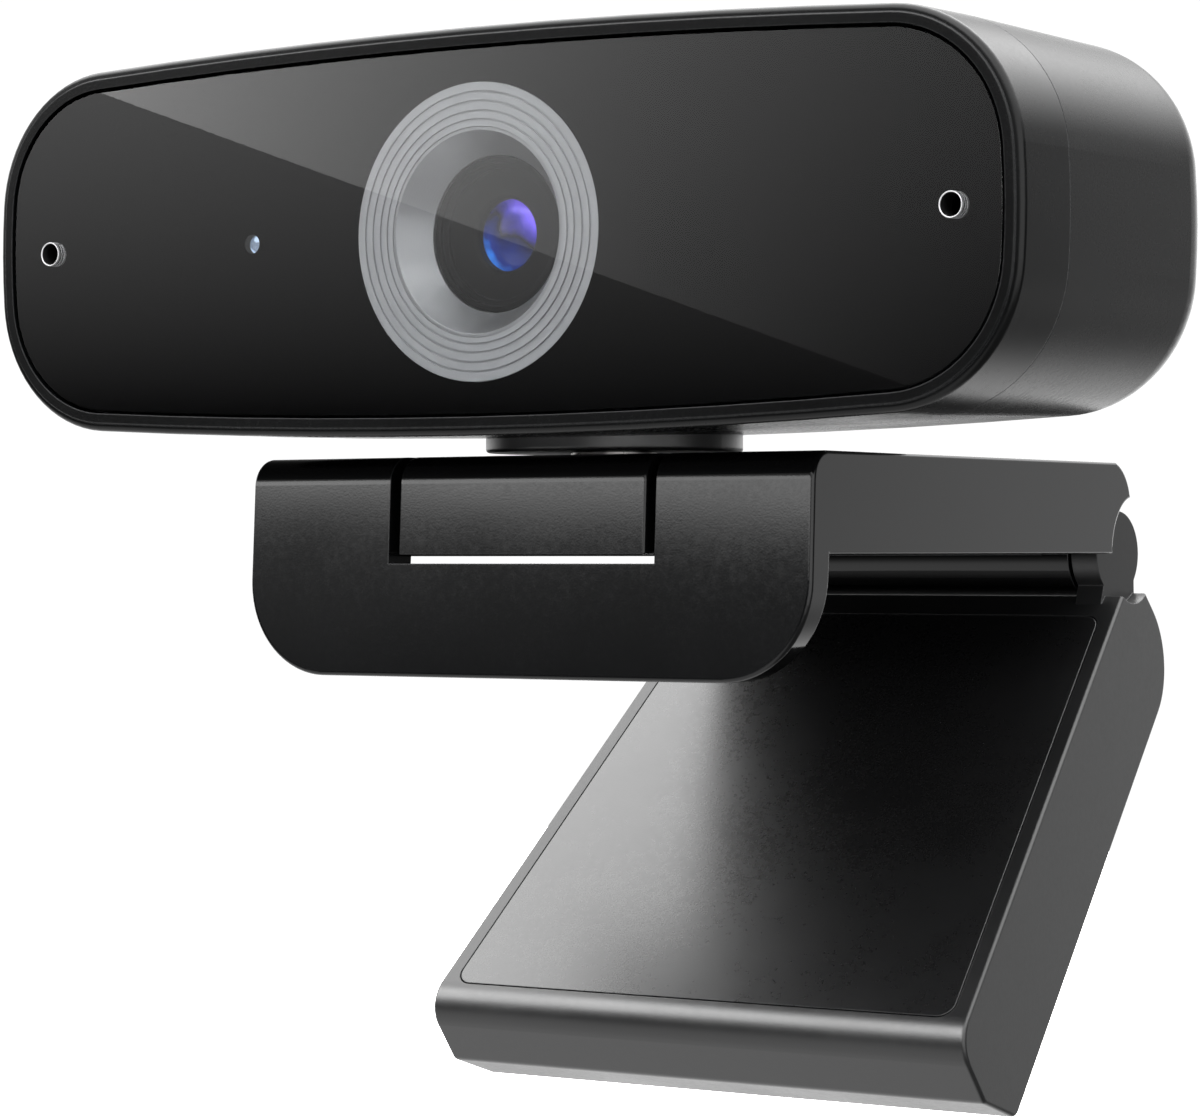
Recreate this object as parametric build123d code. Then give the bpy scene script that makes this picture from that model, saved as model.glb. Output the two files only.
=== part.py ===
"""Web camera on a folding screen clip: head, swivel neck, tilting arm, bracket and folding leg.

Frame: millimetres, +X to the right as seen from the front, -Y the way the lens looks, +Z up. The origin is where the neck axis meets the rest face
under the bracket.
"""
import math
import os

from build123d import *

# --- Head ---
HEAD_Z = 24.25            # height of the lens axis
HEAD_HALF_W = 47.4
HEAD_HALF_H = 15.25
HEAD_CORNER_R = 11.0
CROWN_R = 694.0           # long arcs of the outline, top and bottom
END_R = 58.0              # short arcs of the outline, left and right
RIM_Y = -19.1             # front of the rim
GLASS_Y = -18.95          # front of the clear window
SEAM_Y = -12.4            # joint between the bezel and the rear housing
REAR_Y = 10.8             # back of the head
REAR_TAPER = 0.50         # how far the outline shrinks towards the back
REAR_ROUND = 4.5
WALL = 1.4                # bezel wall
REAR_WALL = 2.0
WINDOW_T = 1.65
WINDOW_GAP = 0.22         # dark gap between the window and the rim
LIP_INSET = 0.62          # raised inner lip of the rim starts here
RING_R = 11.2
CONE_R = 7.9
APERTURE_R = 5.95
RING_Y = -17.27
CONE_DEPTH = 2.5
MIC_XS = (-42.0, 41.6)
MIC_R = 0.95
LED_X = -21.7
LED_WINDOW_R = 0.75
BOARD_Y = -4.0
BOARD_T = 1.2
BOARD_HALF_W = 38.0
BOARD_LOW = 18.0
BOARD_HIGH = 35.0
POST_X = 34.0
GLAND_Z = 27.0

# --- Neck and swivel ---
NECK_R = 10.05
NECK_LOW = 8.05
NECK_HIGH = 12.2
SHAFT_R = 3.4
RUN = 0.06                # running clearance of a pin in its hole

# --- Bracket ---
TOP = 7.7
UNDER = 0.1
FRONT_Y = -12.3
INNER_Y = -9.8
FLAP_LOW = -9.3
FLAP_LEAN = 0.85
FLAP_CORNER_R = 7.5
SIDE_TAPER = 0.088
SIDE_AT_0 = 25.20         # half width of the beam at y = 0
BEND_R = 2.2
EDGE_R = 0.3              # small round along the moulding's outer edges
SLOT_HALF_W = 12.5
SLOT_END = 35.0
NOTCH_LOW = -0.55
ARM_HALF_W = 11.55
ARM_LOW = 1.9
LIP_LOW = 0.15
TILT_Y = 31.2
TILT_Z = 4.6

# --- Rear hinge and leg ---
AXIS_Y = 46.2
AXIS_Z = 0.1
BARREL_R = 3.6
TROUGH_R = 4.76
LEG_TROUGH_R = 4.2
KNUCKLE_HALF = 16.6
EAR_IN = 16.95
EAR_OUT = 19.4
HINGE_PIN_R = 1.5
LEG_ANGLE = 45.9          # lean of the leg from the vertical
LEG_HALF_TOP = 20.7       # half width at the hinge axis
LEG_TAPER = 0.095
LEG_FRONT = -1.0
LEG_BACK = -12.3
LEG_LONG = 53.4
LEG_FOOT = 52.65          # where the front face ends, above the foot's round corner
PAD_MARGIN = 1.4
TRIPOD_S = 27.0
TRIPOD_R = 3.175
LEG_SCREWS = [(-16.5, 12.0), (16.5, 12.0), (-19.5, 44.5), (19.5, 44.5)]

_lean = math.radians(LEG_ANGLE)
DOWN = (0, -math.sin(_lean), -math.cos(_lean))
OUT = (0, -math.cos(_lean), math.sin(_lean))
LEG_SIDE = Plane(origin=(0, AXIS_Y, AXIS_Z), x_dir=DOWN, z_dir=(-1, 0, 0))
LEG_FACE = Plane(origin=(0, AXIS_Y, AXIS_Z), x_dir=(1, 0, 0), z_dir=OUT)
SIDE = Plane(origin=(0, 0, 0), x_dir=(0, 1, 0), z_dir=(1, 0, 0))


def box(x0, x1, y0, y1, z0, z1):
    """Box between two corners."""
    size = Box(x1 - x0, y1 - y0, z1 - z0)
    return Pos((x0 + x1) / 2, (y0 + y1) / 2, (z0 + z1) / 2) * size


def rod_x(x0, x1, y, z, r):
    """Cylinder along X."""
    return Pos((x0 + x1) / 2, y, z) * Rot(0, 90, 0) * Cylinder(r, x1 - x0)


def rod_y(y0, y1, x, z, r):
    """Cylinder along Y."""
    return Pos(x, (y0 + y1) / 2, z) * Rot(90, 0, 0) * Cylinder(r, y1 - y0)


def rod_z(z0, z1, x, y, r):
    """Cylinder along Z."""
    return Pos(x, y, (z0 + z1) / 2) * Cylinder(r, z1 - z0)


def mirrored(shape):
    """The shape and its mirror image across the YZ plane."""
    return shape + mirror(shape, Plane.YZ)


def circles_meet(centre_a, radius_a, centre_b, radius_b):
    """Upper right crossing of two circles."""
    between = centre_b - centre_a
    gap = between.length
    along = (gap * gap + radius_a * radius_a - radius_b * radius_b) / (2 * gap)
    aside = math.sqrt(radius_a * radius_a - along * along)
    unit = between.normalized()
    return centre_a + unit * along + Vector(unit.Y, -unit.X) * aside


def head_outline(inset=0.0):
    """Gently crowned front outline of the head: long arcs joined by round corners."""
    top_r = CROWN_R - inset
    end_r = END_R - inset
    corner_r = HEAD_CORNER_R - inset
    top_c = Vector(0, HEAD_HALF_H - CROWN_R)
    end_c = Vector(HEAD_HALF_W - END_R, 0)
    corner_c = circles_meet(top_c, CROWN_R - HEAD_CORNER_R, end_c, END_R - HEAD_CORNER_R)
    to_top = (corner_c - top_c).normalized()
    to_end = (corner_c - end_c).normalized()
    a = top_c + to_top * top_r
    m = corner_c + (to_top + to_end).normalized() * corner_r
    b = end_c + to_end * end_r
    high = (0, HEAD_HALF_H - inset)
    wide = (HEAD_HALF_W - inset, 0)
    arcs = [
        ThreePointArc((-a.X, a.Y), high, (a.X, a.Y)),
        ThreePointArc((a.X, a.Y), (m.X, m.Y), (b.X, b.Y)),
        ThreePointArc((b.X, b.Y), wide, (b.X, -b.Y)),
        ThreePointArc((b.X, -b.Y), (m.X, -m.Y), (a.X, -a.Y)),
        ThreePointArc((a.X, -a.Y), (0, -high[1]), (-a.X, -a.Y)),
        ThreePointArc((-a.X, -a.Y), (-m.X, -m.Y), (-b.X, -b.Y)),
        ThreePointArc((-b.X, -b.Y), (-wide[0], 0), (-b.X, b.Y)),
        ThreePointArc((-b.X, b.Y), (-m.X, m.Y), (-a.X, a.Y)),
    ]
    return make_face(Curve() + arcs)


def head_plane(y):
    """Plane across the head at depth y, drawn as seen from the front."""
    return Plane(origin=(0, y, HEAD_Z), x_dir=(1, 0, 0), z_dir=(0, -1, 0))


def slab(inset, y0, y1):
    """The head's outline, made smaller by the inset, from y0 back to y1."""
    return extrude(head_plane(y1) * head_outline(inset), amount=y1 - y0)


def ring_y(y0, y1, x, z, r_out, r_in):
    """Tube along Y."""
    return rod_y(y0, y1, x, z, r_out) - rod_y(y0 - 1, y1 + 1, x, z, r_in)


def turned(points, x=0.0, z=HEAD_Z):
    """Solid turned about a line along Y, from (radius, y) points."""
    profile = make_face(Polyline([(r, y) for r, y in points], close=True))
    solid = revolve(profile, axis=Axis.Y)
    return Pos(x, 0, z) * solid


def beam_half(y):
    """Half width of the bracket at depth y."""
    return SIDE_AT_0 - SIDE_TAPER * y


def leg_half(s):
    """Half width of the leg at distance s down from the hinge."""
    return LEG_HALF_TOP + LEG_TAPER * s


def leg_box(x0, x1, s0, s1, n0, n1):
    """Block in the leg's own directions."""
    face = Pos((x0 + x1) / 2, -(s0 + s1) / 2) * Rectangle(x1 - x0, s1 - s0)
    plane = LEG_FACE.offset(n0)
    return extrude(plane * face, amount=n1 - n0)


def leg_rod(x, s, n0, n1, r):
    """Cylinder standing square to the leg's front face."""
    return extrude(LEG_FACE.offset(n0) * (Pos(x, -s) * Circle(r)), amount=n1 - n0)


def leg_trapezoid(inset, s0, s1, n0, n1, round_r=0.0):
    """Tapered slab following the leg's sides."""
    points = [
        (-leg_half(s0) + inset, -s0), (leg_half(s0) - inset, -s0),
        (leg_half(s1) - inset, -s1), (-leg_half(s1) + inset, -s1),
    ]
    face = make_face(Polyline(points, close=True))
    if round_r:
        face = fillet(face.vertices(), round_r)
    return extrude(LEG_FACE.offset(n0) * face, amount=n1 - n0)


# --- Head pieces ---

def at_mics(piece):
    """Joined copies of a piece, one at each microphone."""
    low, high = MIC_XS
    return Pos(low, 0, 0) * piece + Pos(high, 0, 0) * piece


def make_front_bezel():
    body = slab(0, RIM_Y + 0.14, SEAM_Y)
    front = body.faces().sort_by(Axis.Y)[0]
    body = fillet(front.edges(), 0.5)
    lip = slab(LIP_INSET, RIM_Y, RIM_Y + 1)
    lip = fillet(lip.faces().sort_by(Axis.Y)[0].edges(), 0.1)
    body += lip
    body -= slab(WALL, RIM_Y - 1, SEAM_Y + 1)
    bulkhead = slab(WALL - 0.1, -17.1, -15.8)
    bulkhead -= rod_y(-18, -13, 0, HEAD_Z, RING_R + 0.3)
    bulkhead -= at_mics(rod_y(-18, -13, 0, HEAD_Z, 1.0))
    bulkhead -= rod_y(-18, -13, LED_X, HEAD_Z, 1.3)
    posts = []
    for x in (-POST_X, POST_X):
        for z in (20.3, 32.7):
            post = rod_y(-15.9, BOARD_Y - 0.02, x, z, 1.9)
            posts.append(post - rod_y(-10, BOARD_Y + 1, x, z, 0.8))
    body += bulkhead
    for post in posts:
        body += post
    return body


def make_front_window():
    body = slab(WALL + WINDOW_GAP, GLASS_Y, GLASS_Y + WINDOW_T)
    body = chamfer(body.faces().sort_by(Axis.Y)[0].edges(), 0.08)
    return body - at_mics(rod_y(-20, 0, 0, HEAD_Z, MIC_R))


def make_window_mask():
    body = slab(WALL + 0.08, GLASS_Y + WINDOW_T + 0.02, -17.13)
    body -= rod_y(-20, 0, 0, HEAD_Z, RING_R + 0.04)
    body -= at_mics(rod_y(-20, 0, 0, HEAD_Z, MIC_R + 0.02))
    body -= rod_y(-20, 0, LED_X, HEAD_Z, LED_WINDOW_R)
    return body


def make_mic_sleeves():
    """Ribbed grommets that line the sound holes."""
    sleeve = ring_y(GLASS_Y - 0.02, GLASS_Y + WINDOW_T - 0.02, 0, HEAD_Z, MIC_R - 0.015, MIC_R - 0.17)
    for y in (GLASS_Y + 0.45, GLASS_Y + 0.95):
        sleeve -= ring_y(y, y + 0.18, 0, HEAD_Z, MIC_R + 0.1, MIC_R - 0.075)
    return at_mics(sleeve)


def make_lens_ring():
    body = ring_y(RING_Y, -13.6, 0, HEAD_Z, RING_R, CONE_R)
    for r in (10.47, 9.76, 9.04, 8.40):
        body -= ring_y(RING_Y - 1, RING_Y + 0.14, 0, HEAD_Z, r + 0.09, r - 0.09)
    return body


def make_lens_cone():
    mouth = RING_Y + 0.06
    throat = RING_Y + CONE_DEPTH
    points = [
        (CONE_R - 0.03, mouth), (CONE_R - 0.03, throat + 1.2), (APERTURE_R, throat + 1.2),
        (APERTURE_R, throat), (CONE_R - 0.28, mouth),
    ]
    return turned(points)


def make_lens_barrel():
    front = RING_Y + CONE_DEPTH + 0.15
    points = [
        (5.85, front), (5.85, -5.6), (3.75, -5.6), (3.75, -8.0), (3.45, -8.0), (3.45, front + 1.9),
        (2.75, front + 1.9), (2.75, front + 1.25), (3.0, front + 1.0), (4.95, front + 0.8),
        (4.95, front + 0.4), (5.4, front + 0.35), (5.4, front),
    ]
    return turned(points)


def dome(radius, y_edge, bulge, back):
    """Lens element: bulging front, flat back."""
    sphere_r = (radius * radius + bulge * bulge) / (2 * bulge)
    ball = Pos(0, y_edge - bulge + sphere_r, HEAD_Z) * Sphere(sphere_r)
    return ball & rod_y(y_edge - bulge - 1, back, 0, HEAD_Z, radius)


def make_lens_front():
    edge = RING_Y + CONE_DEPTH + 2.6
    return dome(3.4, edge, 1.0, edge + 0.9)


def make_lens_rear():
    return rod_y(-7.97, -6.6, 0, HEAD_Z, 3.7)


def make_lens_holder():
    body = box(-8, 8, -10.2, BOARD_Y - 0.03, HEAD_Z - 6.2, HEAD_Z + 6.2)
    body = fillet(body.edges().filter_by(Axis.Y), 1.0)
    body -= rod_y(-12, -5.55, 0, HEAD_Z, 5.89)
    body -= box(-4.4, 4.4, -6, 0, HEAD_Z - 4.4, HEAD_Z + 4.4)
    return body


def make_image_filter():
    return box(-4.3, 4.3, -5.52, -5.12, HEAD_Z - 4.3, HEAD_Z + 4.3)


def make_image_sensor():
    return box(-3.6, 3.6, -4.95, BOARD_Y - 0.03, HEAD_Z - 3.1, HEAD_Z + 3.1)


def make_camera_board():
    low, high = BOARD_LOW, BOARD_HIGH
    body = box(-BOARD_HALF_W, BOARD_HALF_W, BOARD_Y, BOARD_Y + BOARD_T, low, high)
    body = fillet(body.edges().filter_by(Axis.Y), 1.5)
    for x in (-POST_X, POST_X):
        for z in (20.3, 32.7):
            body -= rod_y(BOARD_Y - 1, 0, x, z, 1.1)
    return body


def make_board_chips():
    back = BOARD_Y + BOARD_T + 0.02
    body = box(-6, 6, back, back + 1.1, HEAD_Z - 5, HEAD_Z + 5)
    body += box(-20, -13, back, back + 0.9, HEAD_Z - 3.5, HEAD_Z + 2.5)
    body += box(12, 16, back, back + 1.0, HEAD_Z - 4, HEAD_Z)
    body += box(-26, -24, back, back + 0.7, HEAD_Z - 2, HEAD_Z + 1)
    return body


def make_board_connector():
    back = BOARD_Y + BOARD_T + 0.02
    body = box(19, 28, back, back + 4.2, HEAD_Z + 1, HEAD_Z + 6)
    return body - box(20, 27, back + 1.2, back + 5, HEAD_Z + 2, HEAD_Z + 5)


def make_board_screws():
    body = None
    for x in (-POST_X, POST_X):
        for z in (20.3, 32.7):
            screw = rod_y(-9.5, BOARD_Y + BOARD_T + 0.1, x, z, 0.75)
            screw += rod_y(BOARD_Y + BOARD_T + 0.03, BOARD_Y + BOARD_T + 1.0, x, z, 1.6)
            screw -= box(x - 1, x + 1, -2.2, 0, z - 0.2, z + 0.2)
            body = screw if body is None else body + screw
    return body


def make_status_light():
    lens = Pos(LED_X, -16.3, HEAD_Z) * Sphere(0.82)
    lens = lens & rod_y(-17.6, -16.3, LED_X, HEAD_Z, 0.82)
    return lens + rod_y(-16.31, -15.35, LED_X, HEAD_Z, 0.9)


def make_light_pipe():
    return rod_y(-15.3, BOARD_Y - 1.1, LED_X, HEAD_Z, 1.1)


def make_board_light():
    return box(LED_X - 1, LED_X + 1, BOARD_Y - 0.95, BOARD_Y - 0.03, HEAD_Z - 0.7, HEAD_Z + 0.7)


def make_mic_gaskets():
    return at_mics(ring_y(-15.75, -12.1, 0, HEAD_Z, 2.4, 0.8))


def make_mic_capsules():
    return at_mics(rod_y(-12.05, -9.9, 0, HEAD_Z, 2.0))


def make_rear_housing():
    base = head_plane(SEAM_Y + 0.06) * head_outline()
    back = head_plane(REAR_Y) * head_outline(REAR_TAPER)
    body = loft([base, back])
    rear_edges = body.faces().sort_by(Axis.Y)[-1].edges()
    body = fillet(rear_edges, REAR_ROUND)
    hollow = loft([
        head_plane(SEAM_Y - 0.5) * head_outline(REAR_WALL),
        head_plane(REAR_Y - REAR_WALL) * head_outline(REAR_TAPER + REAR_WALL),
    ])
    hollow = fillet(hollow.faces().sort_by(Axis.Y)[-1].edges(), 3.0)
    body -= hollow
    lip = slab(WALL + 0.06, SEAM_Y - 1.3, SEAM_Y + 1.2) - slab(WALL + 0.9, SEAM_Y - 2, SEAM_Y + 2)
    body += lip
    seat = rod_z(NECK_LOW, NECK_HIGH + 1.6, 0, 0, NECK_R + 2.0) & slab(0.8, SEAM_Y + 2, REAR_Y - 1.0)
    body += seat
    body -= rod_z(0, NECK_HIGH + 0.02, 0, 0, NECK_R + 0.02)
    body -= rod_z(0, NECK_HIGH + 8, 0, 0, 7.2)
    for x in (-40, 40):
        for z in (HEAD_Z - 5, HEAD_Z + 5):
            boss = rod_y(-9.8, REAR_Y - 0.9, x, z, 1.9)
            body += boss
            body -= rod_y(REAR_Y - 3.2, REAR_Y + 1, x, z, 1.35)
            body -= rod_y(-11, REAR_Y, x, z, 0.75)
    body -= rod_y(0, REAR_Y + 1, 0, GLAND_Z, 3.0)
    return body


def make_housing_screws():
    body = None
    for x in (-40, 40):
        for z in (HEAD_Z - 5, HEAD_Z + 5):
            head = rod_y(REAR_Y - 3.15, REAR_Y - 2.0, x, z, 1.25)
            screw = head + rod_y(-9.0, REAR_Y - 3.1, x, z, 0.7)
            screw -= box(x - 0.8, x + 0.8, REAR_Y - 2.4, REAR_Y, z - 0.15, z + 0.15)
            screw -= box(x - 0.15, x + 0.15, REAR_Y - 2.4, REAR_Y, z - 0.8, z + 0.8)
            body = screw if body is None else body + screw
    return body


def make_cord_gland():
    body = rod_y(REAR_Y - 3.2, REAR_Y + 1.2, 0, GLAND_Z, 2.95)
    body += rod_y(REAR_Y + 0.05, REAR_Y + 1.2, 0, GLAND_Z, 4.2)
    body += rod_y(REAR_Y - 3.2, REAR_Y - REAR_WALL - 0.05, 0, GLAND_Z, 3.8)
    edge = body.faces().sort_by(Axis.Y)[-1].edges()
    body = fillet(edge, 0.5)
    return body - rod_y(0, REAR_Y + 3, 0, GLAND_Z, 1.9)


def make_neck_post():
    body = rod_z(NECK_LOW, NECK_HIGH, 0, 0, NECK_R)
    low_edge = body.faces().sort_by(Axis.Z)[0].edges()
    body = fillet(low_edge, 0.3)
    return body - rod_z(0, 20, 0, 0, SHAFT_R + RUN)


def make_swivel_washer():
    return rod_z(NECK_HIGH + 0.05, NECK_HIGH + 0.75, 0, 0, 6.6) - rod_z(0, 20, 0, 0, 3.75)


# --- Arm pieces ---

def make_swivel_shaft():
    body = rod_z(3.4, 16.2, 0, 0, SHAFT_R)
    body += rod_z(3.4, 5.2, 0, 0, 6.4)
    return chamfer(body.faces().sort_by(Axis.Z)[-1].edges(), 0.4)


def make_swivel_spring():
    return rod_z(13.35, 14.2, 0, 0, 5.6) - rod_z(0, 20, 0, 0, SHAFT_R + 0.05)


def make_swivel_nut():
    nut = extrude(Plane.XY.offset(14.25) * RegularPolygon(5.6, 6), amount=1.6)
    return nut - rod_z(0, 20, 0, 0, SHAFT_R + 0.02)


def make_tilt_arm():
    lean = FLAP_LEAN * (TOP - LIP_LOW) / (TOP - FLAP_LOW)
    points = [
        (FRONT_Y, TOP), (TILT_Y, TOP), (TILT_Y, ARM_LOW), (INNER_Y + 0.05, ARM_LOW),
        (INNER_Y - 0.35 - lean / 2, LIP_LOW), (FRONT_Y - lean, LIP_LOW),
    ]
    face = make_face(Polyline(points, close=True))
    face = fillet(face.vertices().sort_by(Axis.X)[:2].sort_by(Axis.Y)[-1:], BEND_R)
    body = extrude(SIDE * face, amount=ARM_HALF_W, both=True)
    body = fillet(side_edges(body), 0.2)
    body += rod_x(-ARM_HALF_W, ARM_HALF_W, TILT_Y, TILT_Z, TILT_Z - ARM_LOW)
    body += rod_x(-ARM_HALF_W, ARM_HALF_W, TILT_Y, TOP - 3.1, 3.1)
    body -= rod_x(-30, 30, TILT_Y, TILT_Z, HINGE_PIN_R + RUN)
    body -= rod_z(0, 10, 0, 0, SHAFT_R + 0.02)
    body -= rod_z(0, 5.25, 0, 0, 6.45)
    body -= box(-9, 9, 11, 26, 0, TOP - 2.0)
    return body


# --- Bracket pieces ---

def bracket_profile():
    """Side view of the beam and flap with the hinge trough at the back."""
    a = math.radians(102)
    lip = (AXIS_Y + TROUGH_R * math.cos(a), AXIS_Z + TROUGH_R * math.sin(a))
    mid_a = math.radians(141)
    mid = (AXIS_Y + TROUGH_R * math.cos(mid_a), AXIS_Z + TROUGH_R * math.sin(mid_a))
    start = (AXIS_Y - TROUGH_R, AXIS_Z)
    nose_top = (AXIS_Y - 3.9, TOP)
    nose_mid = (AXIS_Y - 1.95, TOP - 1.15)
    edges = [
        Line((FRONT_Y, TOP), nose_top),
        ThreePointArc(nose_top, nose_mid, lip),
        ThreePointArc(lip, mid, start),
        Line(start, (INNER_Y, UNDER)),
        Line((INNER_Y, UNDER), (INNER_Y - FLAP_LEAN, FLAP_LOW)),
        Line((INNER_Y - FLAP_LEAN, FLAP_LOW), (FRONT_Y - FLAP_LEAN, FLAP_LOW)),
        Line((FRONT_Y - FLAP_LEAN, FLAP_LOW), (FRONT_Y, TOP)),
    ]
    face = make_face(Curve() + edges)
    bend = face.vertices().sort_by(Axis.Y)[-2:].sort_by(Axis.X)[0]
    return fillet(bend, BEND_R)


def plan_limits():
    """Plan view of the bracket: its sides close towards the hinge."""
    front = FRONT_Y - 4
    back = AXIS_Y + 4
    points = [
        (-beam_half(front), front), (beam_half(front), front),
        (beam_half(back), back), (-beam_half(back), back),
    ]
    face = make_face(Polyline(points, close=True))
    return extrude(Plane.XY.offset(-20) * face, amount=60)


def outline_edges(body):
    """Sharp edges round the bracket's sides and the flap's lower border."""
    edges = []
    for edge in body.edges():
        centre = edge.center()
        on_border = abs(centre.X) > 17.5 or centre.Z < FLAP_LOW + 0.05
        across = (edge @ 1) - (edge @ 0)
        is_seam = edge.geom_type == GeomType.LINE and 2.0 < abs(across.Y) < 3.2
        if on_border and not is_seam:
            edges.append(edge)
    return edges


def side_edges(body):
    """Edges round the two sides of a body that is symmetric across the YZ plane."""
    edges = []
    for face in body.faces():
        if abs(face.normal_at().X) > 0.9 and face.area > 30:
            edges += list(face.outer_wire().edges())
    return edges


def make_bracket_shell():
    body = extrude(SIDE * bracket_profile(), amount=30, both=True)
    body = (body & plan_limits()).solids()[0]
    corners = [e for e in body.edges() if abs(e.center().X) > 20 and e.center().Z < FLAP_LOW + 0.01]
    body = fillet(corners, FLAP_CORNER_R)
    body = fillet(outline_edges(body), EDGE_R)
    body -= box(-SLOT_HALF_W, SLOT_HALF_W, -20, INNER_Y + 0.35, NOTCH_LOW, 20)
    body -= box(-SLOT_HALF_W, SLOT_HALF_W, INNER_Y, SLOT_END, -0.2, 20)
    body -= box(-18.2, 18.2, INNER_Y + 1.0, 37.6, -1, 1.5)
    knuckle = rod_x(-KNUCKLE_HALF, KNUCKLE_HALF, AXIS_Y, AXIS_Z, BARREL_R)
    web = box(-KNUCKLE_HALF, KNUCKLE_HALF, AXIS_Y - 6, AXIS_Y - 1.2, AXIS_Z, AXIS_Z + 5.4)
    web = web & rod_x(-30, 30, AXIS_Y, AXIS_Z, TROUGH_R + 1.5)
    body += knuckle
    body += web
    body -= rod_x(-30, 30, AXIS_Y, AXIS_Z, HINGE_PIN_R + 0.02)
    body -= mirrored(rod_x(KNUCKLE_HALF - 1.3, 30, AXIS_Y, AXIS_Z, 2.75))
    body -= rod_x(-17.5, 17.5, TILT_Y, TILT_Z, HINGE_PIN_R + 0.02)
    for x in (-15.4, 15.4):
        for y in (-4.0, 26.0):
            body -= rod_z(0, 5.5, x, y, 0.8)
    body -= pad_recess()
    return body


def pad_recess():
    """Shallow seat for the soft pad on the flap's inner face."""
    body = box(-19, 19, INNER_Y - 0.55, INNER_Y + 0.6, -7.4, -1.6)
    return Pos(0, INNER_Y, UNDER) * Rot(-3, 0, 0) * Pos(0, -INNER_Y, -UNDER) * body


def make_flap_pad():
    body = box(-18.8, 18.8, INNER_Y - 0.5, INNER_Y + 0.25, -7.2, -1.8)
    body = fillet(body.edges().filter_by(Axis.Y), 1.2)
    return Pos(0, INNER_Y, UNDER) * Rot(-3, 0, 0) * Pos(0, -INNER_Y, -UNDER) * body


def make_beam_cover():
    body = box(-18.0, 18.0, INNER_Y + 1.2, 37.4, 0.6, 1.48)
    for x in (-15.4, 15.4):
        for y in (-4.0, 26.0):
            body -= rod_z(0, 2, x, y, 0.9)
            body -= Pos(x, y, 0.85) * Cone(1.75, 1.15, 0.6)
    return body


def make_beam_pad():
    body = box(-17.9, 17.9, INNER_Y + 1.3, 37.3, 0.0, 0.55)
    body = fillet(body.edges().filter_by(Axis.Z), 2.0)
    return body


def make_cover_screws():
    body = None
    for x in (-15.4, 15.4):
        for y in (-4.0, 26.0):
            screw = rod_z(0.7, 5.2, x, y, 0.75) + Pos(x, y, 0.87) * Cone(1.65, 1.05, 0.5)
            screw -= box(x - 1.2, x + 1.2, y - 0.2, y + 0.2, 0.5, 0.8)
            body = screw if body is None else body + screw
    return body


def make_tilt_pin():
    return rod_x(-17.3, 17.3, TILT_Y, TILT_Z, HINGE_PIN_R)


def make_tilt_washers():
    ring = rod_x(11.95, 12.45, TILT_Y, TILT_Z, 2.5) - rod_x(10, 14, TILT_Y, TILT_Z, HINGE_PIN_R + 0.03)
    return mirrored(ring)


def make_hinge_pin():
    return rod_x(-18.4, 18.4, AXIS_Y, AXIS_Z, HINGE_PIN_R)


def make_hinge_springs():
    ring = rod_x(KNUCKLE_HALF - 1.25, KNUCKLE_HALF - 0.05, AXIS_Y, AXIS_Z, 2.7)
    ring -= rod_x(10, 20, AXIS_Y, AXIS_Z, HINGE_PIN_R + 0.03)
    return mirrored(ring)


# --- Leg pieces ---

def leg_profile():
    """Side view of the leg in its own directions: s down the leg, n out of its front."""
    points = [
        (3.0, LEG_FRONT), (LEG_FOOT, LEG_FRONT), (LEG_FOOT + 0.75, -7.3), (LEG_FOOT - 1.9, LEG_BACK),
        (0.5, LEG_BACK), (0.5, -3.0),
    ]
    face = make_face(Polyline(points, close=True))
    rounds = {
        (LEG_FOOT, LEG_FRONT): 2.8, (LEG_FOOT + 0.75, -7.3): 0.9,
        (LEG_FOOT - 1.9, LEG_BACK): 1.0, (0.5, LEG_BACK): 6.2,
    }
    for (s, n), r in rounds.items():
        near = min(face.vertices(), key=lambda v: abs(v.X - s) + abs(v.Y - n))
        face = fillet(near, r)
    return face


def make_leg_shell():
    body = extrude(LEG_SIDE * leg_profile(), amount=30, both=True)
    body = (body & leg_trapezoid(0, -2, LEG_LONG + 5, -20, 5)).solids()[0]
    body = fillet(side_edges(body), EDGE_R)
    body -= rod_x(-30, 30, AXIS_Y, AXIS_Z, LEG_TROUGH_R)
    body -= leg_trapezoid(PAD_MARGIN, 6.4, 50.3, LEG_FRONT - 2.2, 1, 1.4)
    body -= leg_trapezoid(PAD_MARGIN + 1.3, 8.5, 48.6, LEG_BACK + 2.0, 0, 2.0)
    body += leg_rod(0, TRIPOD_S, LEG_BACK + 0.1, LEG_FRONT - 3.4, 6.4)
    body -= leg_rod(0, TRIPOD_S, LEG_BACK - 1, LEG_FRONT - 4.4, 4.55)
    for x, s in LEG_SCREWS:
        body += leg_rod(x, s, LEG_BACK + 0.1, LEG_FRONT - 2.25, 2.0)
        body -= leg_rod(x, s, LEG_BACK + 2.4, LEG_FRONT + 1, 0.8)
    ear = rod_x(EAR_IN, EAR_OUT, AXIS_Y, AXIS_Z, BARREL_R)
    ear += ear_web()
    ear = ear & box(EAR_IN, EAR_OUT, 0, 80, -40, 20)
    ear -= rod_x(0, 18.6, AXIS_Y, AXIS_Z, HINGE_PIN_R + RUN)
    body += mirrored(ear)
    return body


def ear_web():
    """Thin neck joining a hinge ear to the leg."""
    points = [(1.0, 1.2), (5.6, LEG_FRONT - 0.3), (6.2, -6.0), (1.4, -5.6), (-1.0, -3.0)]
    face = make_face(Polyline(points, close=True))
    return extrude(LEG_SIDE * face, amount=30, both=True) & box(EAR_IN, EAR_OUT, 0, 80, -40, 20)


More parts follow.
